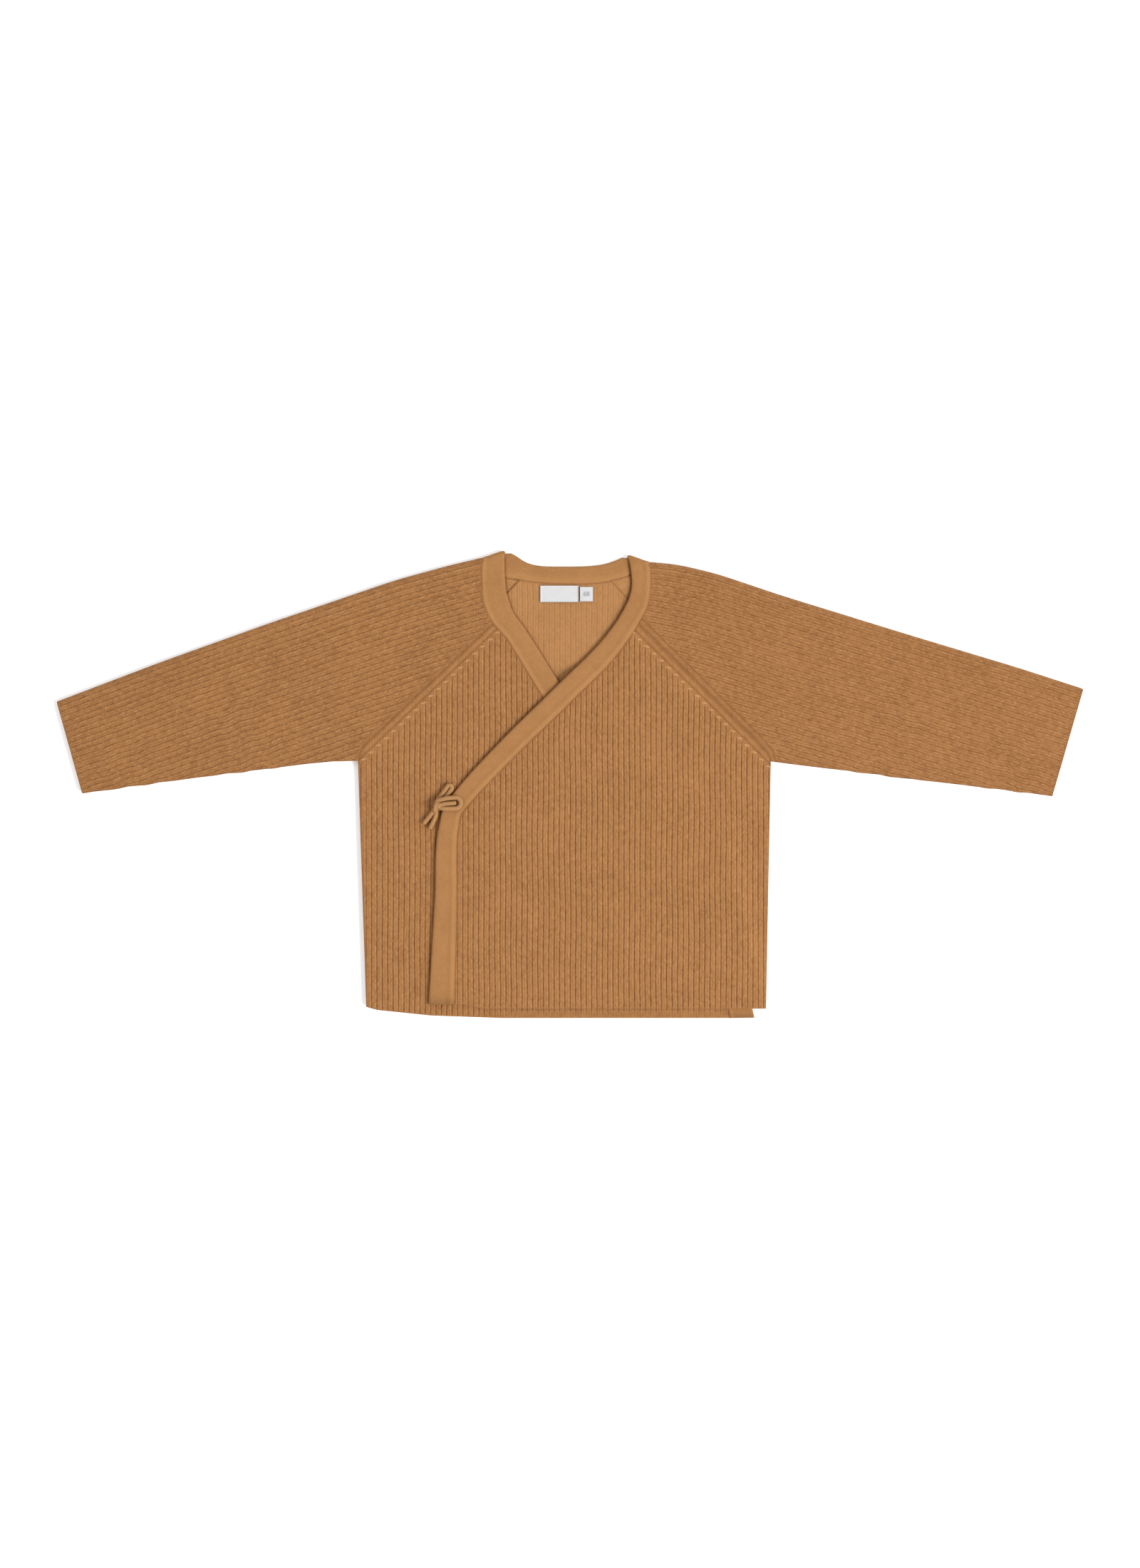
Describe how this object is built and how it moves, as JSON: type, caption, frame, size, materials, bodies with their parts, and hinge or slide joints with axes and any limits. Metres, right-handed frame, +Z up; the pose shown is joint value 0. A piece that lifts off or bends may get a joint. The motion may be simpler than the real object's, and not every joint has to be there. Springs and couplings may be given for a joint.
{
  "type": "wrap cardigan",
  "caption": "Baby's long-sleeved wrap cardigan in rib knit with raglan sleeves, a plain front band and a tied bow, laid flat with its front up.",
  "frame": {"origin": "centre of the laid garment's box, on the surface it lies on, the tie cords left out", "axes": "+X across from cuff to cuff, to the right as the front is viewed; +Y from hem to neck; +Z up, out of the front"},
  "size_m": [0.6698, 0.3052, 0.0114],
  "materials": {
    "rib_knit": "camel rib knit",
    "band_knit": "camel plain knit",
    "tie_cord": "knitted cord",
    "label_tape": "white woven tape"
  },
  "bodies": {
    "root": {"back": "rib_knit", "right_front": "rib_knit", "left_front": "rib_knit", "right_sleeve": "rib_knit", "left_sleeve": "rib_knit", "front_band": "band_knit", "label_main": "label_tape", "label_size": "label_tape", "tie_knot": "tie_cord", "tie_loop_upper": "tie_cord", "tie_loop_side": "tie_cord", "tie_tail_long": "tie_cord", "tie_tail_short": "tie_cord"}
  },
  "joints": []
}
